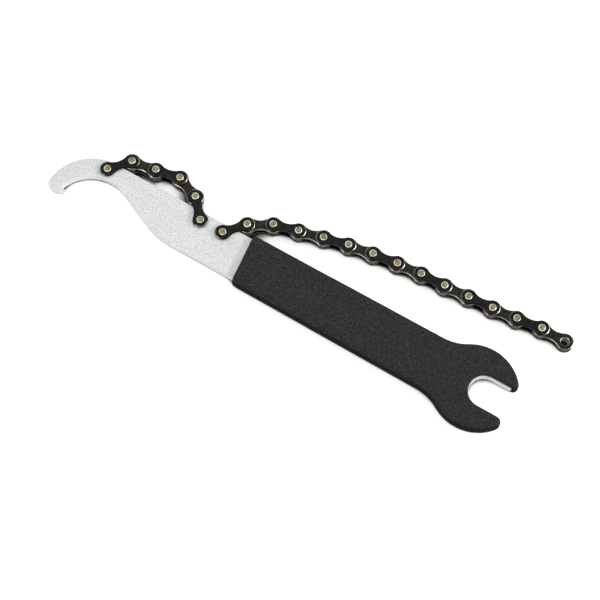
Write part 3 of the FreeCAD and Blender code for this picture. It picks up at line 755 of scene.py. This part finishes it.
@dataclass
class LinkPlate:
    """One chain link plate, inner face at z 0, first hole at the origin and second along X.

    Sizes are in metres. The points of a curve give the distance in from an edge and the depth
    below the outer face, as shares of the rim or countersink, and the wear.
    """

    template: Template
    pitch: float
    end_radius: float
    waist_half: float
    thick: float
    hole_radius: float
    rim: float = 0.42 * MM
    back_rim: float = 0.2 * MM
    hole_rim: float = 0.1 * MM
    land: float = 0.12 * MM
    tip_wear: float = 0.35
    waist_wear: float = 0.0
    bush_bores: tuple[float, float] = (0.0, 0.0)
    bush_drop: float = 0.0
    bush_edge: float = 0.1 * MM
    sink_share: float = 0.95
    end_steps: int = 40
    waist_steps: int = 14
    hole_steps: int = 32
    rim_curve: Curve = (
        (0.0, 0.85, 0.05), (0.06, 0.7, 0.15), (0.18, 0.6, 0.35), (0.85, 0.11, 0.35), (1.0, 0.01, 0.1))
    sink_curve: Curve = (
        (1.0, 0.01, 0.5), (0.9, 0.08, 0.7), (0.2, 0.6, 0.7), (0.08, 0.8, 0.3), (0.0, 1.1, 0.0))

    def outline(self, inset: float) -> Loop:
        """Draws the plate's edge, moved inwards: two round ends and two hollow flanks.

        Args:
            inset: Distance inwards.

        Returns:
            The closed loop, counter-clockwise.
        """
        half, waist, radius = self.pitch / 2.0, self.waist_half, self.end_radius
        bend = (half ** 2 + waist ** 2 - radius ** 2) / (2.0 * (radius - waist))
        slope = math.atan2(waist + bend, half)
        ends, bows = radius - inset, bend + inset
        below, above = (half, -waist - bend), (half, waist + bend)
        loop = arc((0.0, 0.0), ends, slope, 2.0 * math.pi - slope, self.end_steps)
        loop += arc(below, bows, math.pi - slope, slope, self.waist_steps)
        loop += arc((self.pitch, 0.0), ends, slope - math.pi, math.pi - slope, self.end_steps)
        loop += arc(above, bows, -slope, slope - math.pi, self.waist_steps)
        return loop

    def rim_profile(self, back: float, front: float) -> Profile:
        """Draws a rim from the inner face's land to the outer face's.

        Args:
            back: Radius of the rim at the inner face.
            front: Radius of the rim at the outer face.

        Returns:
            Inset, height and wear of each point.
        """
        low = back * MID_CORNER
        inner = [(back + self.land, 0.0, 0.1), (back, 0.0, 0.35), (low, low, 0.5), (0.0, back, 0.1)]
        outer = [(inset * front, self.thick - drop * front, wear) for inset, drop, wear in self.rim_curve]
        return [*inner, *outer, (front + self.land, self.thick, 0.0)]

    def edge_ring(self, builder: Builder, inset: float, height: float, wear: float) -> list[int]:
        """Adds one loop round the plate, more worn at the tips and waist of its outer face.

        Args:
            builder: Mesh that takes it.
            inset: Distance inwards from the plate's edge.
            height: Height of the loop.
            wear: Wear away from the tips and waist.

        Returns:
            Numbers of the loop's points.
        """
        loop = self.outline(inset)
        half = self.pitch / 2.0
        exposed = 1.0 if wear and height > self.thick / 2.0 else 0.0
        worn = []
        for x, _ in loop:
            beyond = max(abs(x - half) - half, 0.0) / self.end_radius
            between = max(1.0 - abs(x - half) / half, 0.0)
            worn.append(wear + exposed * (self.tip_wear * beyond + self.waist_wear * between))
        return builder.ring(loop, height, worn)

    def add_bush(self, builder: Builder, centre: float, bore: float) -> None:
        """Adds the collar that the roller turns on, countersunk in the outer face.

        Args:
            builder: Mesh that takes it.
            centre: Place of its line along X.
            bore: Radius of its hole.
        """
        outer, top, low, edge = self.hole_radius, self.thick, -self.bush_drop, self.bush_edge
        sink = self.sink_share * (outer - edge - bore)
        side = [(outer - edge, low, 0.4), (outer, low + edge, 0.4), (outer, top - edge, 0.3),
                (outer - edge, top, 0.35)]
        cone = [(bore + out * sink, top - drop * sink, wear) for out, drop, wear in self.sink_curve]
        inside = [(bore, low + edge, 0.0), (bore + edge, low, 0.0)]
        turned(builder, side + cone + inside, self.hole_steps, True, centre)

    def build(self) -> bpy.types.Mesh:
        """Makes the plate, with its bushes where it has a bore for them.

        Returns:
            The mesh.
        """
        builder = Builder()
        edges = [self.edge_ring(builder, *point) for point in self.rim_profile(self.back_rim, self.rim)]
        for lower, upper in zip(edges, edges[1:]):
            builder.wall(lower, upper)
        lows, highs = [], []
        for centre, bore in zip((0.0, self.pitch), self.bush_bores):
            rings = [builder.ring(circle(self.hole_radius + inset, self.hole_steps, centre), height, wear)
                     for inset, height, wear in self.rim_profile(self.hole_rim, self.hole_rim)]
            for lower, upper in zip(rings, rings[1:]):
                builder.wall(upper, lower)
            lows.append(rings[0])
            highs.append(rings[-1])
            if bore:
                self.add_bush(builder, centre, bore)
        builder.cap(edges[0], lows, False)
        builder.cap(edges[-1], highs, True)
        return builder.mesh(self.template)


@dataclass
class RivetedPin:
    """A chain pin with its two peened and dished ends, standing on z 0.

    The points of an end's curve give the distance in from the pin's side, the height as a share
    of what stands proud of the plate, and the wear.
    """

    radius: float
    length: float
    proud: float
    steps: int = 32
    end_curve: Curve = (
        (0.0, 0.0, 0.2), (-0.012 * MM, 0.0667, 0.3), (-0.02 * MM, 0.3, 0.6), (0.02 * MM, 0.6, 0.9),
        (0.12 * MM, 0.86, 1.0), (0.26 * MM, 1.0, 1.0), (0.4 * MM, 0.97, 0.8), (0.54 * MM, 0.84, 0.4),
        (0.75 * MM, 0.74, 0.15), (1.3 * MM, 0.7, 0.1))
    middle: float = 0.76
    middle_wear: float = 0.1

    def end_profile(self) -> Profile:
        """Draws one end from the plate to the middle of the pin.

        Returns:
            Radius, height above the plate and wear of each point.
        """
        side = [(self.radius - inset, share * self.proud, wear) for inset, share, wear in self.end_curve]
        return [*side, (0.0, self.middle * self.proud, self.middle_wear)]

    def build(self) -> bpy.types.Mesh:
        """Makes the pin.

        Returns:
            The mesh.
        """
        builder = Builder()
        end = self.end_profile()
        foot = [(radius, self.proud - height, wear) for radius, height, wear in reversed(end)]
        head = [(radius, self.length - self.proud + height, wear) for radius, height, wear in end]
        turned(builder, foot + head, self.steps, False)
        return builder.mesh(Template.PIN)


@dataclass
class Roller:
    """A chain roller, standing on z 0."""

    radius: float
    bore: float
    height: float
    rim: float = 0.22 * MM
    bore_rim: float = 0.11 * MM
    steps: int = 40

    def build(self) -> bpy.types.Mesh:
        """Makes the roller.

        Returns:
            The mesh.
        """
        r, b, h, e, i = self.radius, self.bore, self.height, self.rim, self.bore_rim
        corner = e * MID_CORNER
        lower = [(r - e, 0.0, 0.5), (r - corner, corner, 0.9), (r, e, 0.8)]
        upper = [(radius, h - z, wear) for radius, z, wear in reversed(lower)]
        inside = [(b + i, h, 0.2), (b, h - i, 0.0), (b, i, 0.0), (b + i, 0.0, 0.2)]
        builder = Builder()
        turned(builder, [*lower, (r, h / 2.0, 0.45), *upper, *inside], self.steps, True)
        return builder.mesh(Template.ROLLER)


@dataclass
class ChainParts:
    """Templates and finishes that both chains share."""

    recipe: Recipe
    pitch: float = PITCH
    plate_thick: float = 0.95 * MM
    outer_end: float = 3.85 * MM
    outer_waist: float = 2.15 * MM
    inner_end: float = 4.3 * MM
    inner_waist: float = 2.6 * MM
    inner_tip_wear: float = 0.15
    inner_waist_wear: float = 0.45
    pin_radius: float = 1.825 * MM
    pin_bore: float = 1.875 * MM
    pin_proud: float = 0.6 * MM
    pin_turn: float = 1.3
    loose_bore: float = 2.075 * MM
    bush_radius: float = 2.5 * MM
    bush_drop: float = 1.1 * MM
    roller_radius: float = 3.875 * MM
    roller_bore: float = 2.55 * MM
    outer_finish: OxideSteel = OxideSteel("outer_link_oxide", (0.012, 0.012, 0.011), (0.024, 0.022, 0.019))
    inner_finish: OxideSteel = OxideSteel("inner_link_oxide", (0.016, 0.015, 0.0125), (0.034, 0.031, 0.024),
                                         ring_wear=0.35)
    roller_finish: OxideSteel = OxideSteel("roller_oxide", (0.08, 0.072, 0.062), (0.20, 0.18, 0.16))
    pin_finish: RivetSteel = RivetSteel()
    meshes: dict[Template, bpy.types.Mesh] = field(default_factory=dict)
    finishes: dict[Slot, bpy.types.Material] = field(default_factory=dict)

    def prepare(self) -> None:
        """Makes the templates, with the frame's own lengths of pin and roller, and the finishes."""
        pin_low, pin_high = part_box("short_link_1_pins")
        roller_low, roller_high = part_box("short_roller_2")
        outer = LinkPlate(Template.OUTER_PLATE, self.pitch, self.outer_end, self.outer_waist,
                          self.plate_thick, self.pin_radius)
        inner = LinkPlate(Template.INNER_PLATE, self.pitch, self.inner_end, self.inner_waist,
                          self.plate_thick, self.bush_radius, tip_wear=self.inner_tip_wear,
                          waist_wear=self.inner_waist_wear, bush_bores=(self.pin_bore, self.pin_bore),
                          bush_drop=self.bush_drop)
        loose = replace(inner, template=Template.LOOSE_PLATE, bush_bores=(self.loose_bore, self.pin_bore))
        pin = RivetedPin(self.pin_radius, pin_high.z - pin_low.z, self.pin_proud)
        roller = Roller(self.roller_radius, self.roller_bore, roller_high.z - roller_low.z)
        self.meshes = {
            Template.OUTER_PLATE: outer.build(), Template.INNER_PLATE: inner.build(),
            Template.LOOSE_PLATE: loose.build(), Template.PIN: pin.build(),
            Template.ROLLER: roller.build()}
        self.finishes = {
            Slot.OUTER: self.outer_finish.build(), Slot.INNER: self.inner_finish.build(),
            Slot.ROLLER: self.roller_finish.build(), Slot.PIN: self.pin_finish.build()}


@dataclass
class Chain:
    """One length of roller chain, set along the CAD's pivots.

    Its links are numbered from 1 at the lever, and the odd ones are outer links. The first bore
    of the loose link is wide, because there the closed loop is opened.
    """

    prefix: str
    links: int
    digits: int
    parts: ChainParts
    loose_link: int = 0

    def label(self, kind: str, number: int) -> str:
        """Name of a link, hinge or roller."""
        return f"{self.prefix}_{kind}_{number:0{self.digits}d}"

    def pivot(self, number: int) -> Vector:
        """Place of one of the chain's pivots, from 1."""
        roller = self.label("roller", number) + "_spin"
        return JOINTS[roller] if roller in JOINTS else JOINTS[self.label("hinge", number)]

    def row(self, name: str, template: Template, slot: Slot, number: int,
            **values: object) -> bpy.types.Object:
        """Makes a row of copies that starts at a pivot and heads to the next one.

        Args:
            name: Name of the piece.
            template: Which template is copied.
            slot: Finish of the piece.
            number: The first pivot's number.
            values: Inputs of the tree.

        Returns:
            The finished piece.
        """
        here = self.pivot(number)
        there = self.pivot(number + 1)
        heading = math.atan2(there.y - here.y, there.x - here.x)
        return self.parts.recipe.apply(
            name, self.parts.meshes[template], Start=(here.x, here.y, 0.0), Heading=heading,
            Finish=self.parts.finishes[slot], **values)

    def dress_plates(self, number: int, template: Template, slot: Slot, *suffixes: str) -> None:
        """Makes the two plates of one link, the lower one turned over.

        Args:
            number: The link's number.
            template: Which plate is copied.
            slot: Finish of the plates.
            suffixes: Endings of the CAD nodes' names that they stand for.
        """
        body = self.label("link", number)
        nodes = [f"{body}_{suffix}" for suffix in suffixes]
        low = min(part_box(node)[0].z for node in nodes) + self.parts.plate_thick
        high = max(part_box(node)[1].z for node in nodes) - self.parts.plate_thick
        plates = self.row(body + "_plate_pair", template, slot, number, Count=2, First=(0.0, 0.0, high),
                          Step=(0.0, 0.0, low - high), Turn=(math.pi, 0.0, 0.0))
        mount_piece(plates, body, slot, *nodes)

    def dress_pins(self, number: int) -> None:
        """Makes the two pins of an outer link.

        Args:
            number: The link's number.
        """
        body = self.label("link", number)
        pins = self.row(body + "_rivets", Template.PIN, Slot.PIN, number, Count=2, First=(0.0, 0.0, 0.0),
                        Step=(self.parts.pitch, 0.0, 0.0), Turn=(0.0, 0.0, self.parts.pin_turn))
        mount_piece(pins, body, Slot.PIN, body + "_pins")

    def dress_roller(self, number: int) -> None:
        """Makes the roller on one pivot, seen from the last link where it is at that link's end.

        Args:
            number: The pivot's number.
        """
        body = self.label("roller", number)
        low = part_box(body)[0].z
        along = self.parts.pitch if number > self.links else 0.0
        roller = self.row(body + "_ring", Template.ROLLER, Slot.ROLLER, min(number, self.links), Count=1,
                          First=(along, 0.0, low), Step=(0.0, 0.0, 0.0), Turn=(0.0, 0.0, 0.0))
        mount_piece(roller, body, Slot.ROLLER, body)

    def build(self) -> None:
        """Makes every link and roller."""
        for number in range(1, self.links + 1):
            if number % 2:
                self.dress_plates(number, Template.OUTER_PLATE, Slot.OUTER, "plates")
                self.dress_pins(number)
            else:
                inner = Template.LOOSE_PLATE if number == self.loose_link else Template.INNER_PLATE
                self.dress_plates(number, inner, Slot.INNER, "bottom_plate", "top_plate")
        for name in frame["bodies"]:
            if name.startswith(self.prefix + "_roller_"):
                self.dress_roller(int(name.rsplit("_", 1)[1]))


@dataclass
class Lever:
    """The blanked steel lever with softly broken edges.

    Edges turned by more than sharp are broken, and faces turned by less than flat are joined.
    """

    node: str = "lever_plate"
    edge_break: float = 0.3 * MM
    edge_steps: int = 3
    sharp: float = math.radians(35.0)
    flat: float = math.radians(0.3)
    finish: BlastedSteel = BlastedSteel()

    def build(self) -> None:
        """Copies the CAD lever, breaks its edges and dresses it."""
        mesh = frame["nodes"][self.node].data.copy()
        merged = bmesh.new()
        merged.from_mesh(mesh)
        bmesh.ops.remove_doubles(merged, verts=merged.verts, dist=WELD)
        bmesh.ops.dissolve_limit(merged, angle_limit=self.flat, verts=merged.verts, edges=merged.edges)
        merged.to_mesh(mesh)
        merged.free()
        draft = add_piece("lever_draft", mesh)
        bevel = draft.modifiers.new("edges", "BEVEL")
        bevel.limit_method = "ANGLE"
        bevel.angle_limit = self.sharp
        bevel.width = self.edge_break
        bevel.segments = self.edge_steps
        bevel.harden_normals = True
        mesh.shade_smooth()
        result = plain_mesh(draft)
        bpy.data.objects.remove(draft)
        result.materials.clear()
        result.materials.append(self.finish.build())
        mount_piece(add_piece("blasted_lever", result), "lever", Slot.LEVER, self.node)


@dataclass
class Grip:
    """The dipped plastic coat over the handle and the wrench head."""

    recipe: Recipe
    node: str = "dipped_grip"
    grid: float = 0.5 * MM
    softness: float = 0.5
    smoothing: int = 20
    unevenness: float = 0.1 * MM
    waves: float = 260.0
    octaves: float = 3.0
    finish: DippedPlastic = DippedPlastic()

    def build(self) -> None:
        """Copies the CAD coat on an even grid, softens it, makes it uneven and dresses it."""
        draft = add_piece("grip_draft", frame["nodes"][self.node].data.copy())
        weld = draft.modifiers.new("weld", "WELD")
        weld.merge_threshold = WELD
        remesh = draft.modifiers.new("grid", "REMESH")
        remesh.mode = "VOXEL"
        remesh.voxel_size = self.grid
        remesh.use_smooth_shade = True
        smooth = draft.modifiers.new("soft", "SMOOTH")
        smooth.factor = self.softness
        smooth.iterations = self.smoothing
        even = plain_mesh(draft)
        bpy.data.objects.remove(draft)
        piece = self.recipe.apply("dipped_coat", even, Depth=self.unevenness, Scale=self.waves,
                                  Octaves=self.octaves, Finish=self.finish.build())
        mount_piece(piece, "lever", Slot.GRIP, self.node)


# Studio


@dataclass(frozen=True)
class Lamp:
    """A soft rectangular lamp that looks at the origin."""

    name: str
    place: Point
    watts: float
    size: Span

    def hang(self) -> None:
        """Puts the lamp in the scene."""
        light = bpy.data.lights.new(self.name, "AREA")
        light.energy = self.watts
        light.shape = "RECTANGLE"
        light.size, light.size_y = self.size
        lamp = bpy.data.objects.new(self.name, light)
        lamp.location = self.place
        lamp.rotation_euler = (-Vector(self.place)).to_track_quat("-Z", "Y").to_euler()
        bpy.context.scene.collection.objects.link(lamp)


@dataclass
class Studio:
    """Pale floor, soft lights and a camera at the photograph's angle.

    World level is the light that the room gives the part. The camera sees the room white.
    """

    target: Point = (-17.5 * MM, -4.9 * MM, 7.6 * MM)
    azimuth: float = math.radians(28.9)
    elevation: float = math.radians(70.0)
    roll: float = math.radians(1.5)
    distance: float = 880.0 * MM
    lens: float = 110.0
    clip: Span = (0.01, 50.0)
    floor_half: float = 4.0
    floor_gap: float = 0.02 * MM
    floor_finish: PaleFloor = PaleFloor()
    world_level: float = 0.68
    lamps: tuple[Lamp, ...] = (
        Lamp("overhead_softbox", (-0.35, 0.55, 1.15), 2.0, (0.9, 0.9)),
        Lamp("front_lamp", (-0.38, -0.93, 0.58), 2.5, (0.2, 0.2)),
        Lamp("right_lamp", (0.93, 0.42, 0.41), 8.8, (0.7, 0.12)))

    def add_floor(self) -> None:
        """Lays the pale floor just under the part."""
        h, z = self.floor_half, -self.floor_gap
        mesh = bpy.data.meshes.new("floor")
        mesh.from_pydata([(-h, -h, z), (h, -h, z), (h, h, z), (-h, h, z)], [], [(0, 1, 2, 3)])
        mesh.materials.append(self.floor_finish.build())
        add_piece("floor", mesh)

    def add_world(self) -> None:
        """Fills the room with soft light."""
        world = bpy.data.worlds.new("studio")
        world.use_nodes = True
        world.node_tree.nodes.clear()
        room = Tree(world.node_tree)
        camera = room.node("ShaderNodeLightPath", out="Is Camera Ray")
        level = camera.band(0.0, 1.0, self.world_level, 1.0)
        glow = room.node("ShaderNodeBackground", {"Color": WHITE, "Strength": level})
        room.node("ShaderNodeOutputWorld", {"Surface": glow})
        bpy.context.scene.world = world

    def add_camera(self) -> None:
        """Sets the camera at the photograph's angle."""
        a, e = self.azimuth, self.elevation
        back = Vector((math.sin(a) * math.cos(e), -math.cos(a) * math.cos(e), math.sin(e)))
        data = bpy.data.cameras.new("camera")
        data.lens = self.lens
        data.clip_start, data.clip_end = self.clip
        camera = bpy.data.objects.new("camera", data)
        camera.location = Vector(self.target) + back * self.distance
        camera.rotation_mode = "QUATERNION"
        turn = Quaternion((0.0, 0.0, 1.0), self.roll)
        camera.rotation_quaternion = (-back).to_track_quat("-Z", "Y") @ turn
        bpy.context.scene.collection.objects.link(camera)
        bpy.context.scene.camera = camera

    def build(self) -> None:
        """Makes the whole studio."""
        bpy.context.scene.view_settings.view_transform = "Standard"
        self.add_floor()
        self.add_world()
        for lamp in self.lamps:
            lamp.hang()
        self.add_camera()


def main() -> None:
    """Builds the object's looks and the studio in order."""
    logging.basicConfig(level=logging.INFO, format="%(name)s: %(message)s")
    Lever().build()
    Grip(coat_recipe()).build()
    parts = ChainParts(copies_recipe())
    parts.prepare()
    Chain("short", links=5, digits=1, parts=parts, loose_link=4).build()
    Chain("long", links=14, digits=2, parts=parts).build()
    Studio().build()


if __name__ == "__main__":
    main()
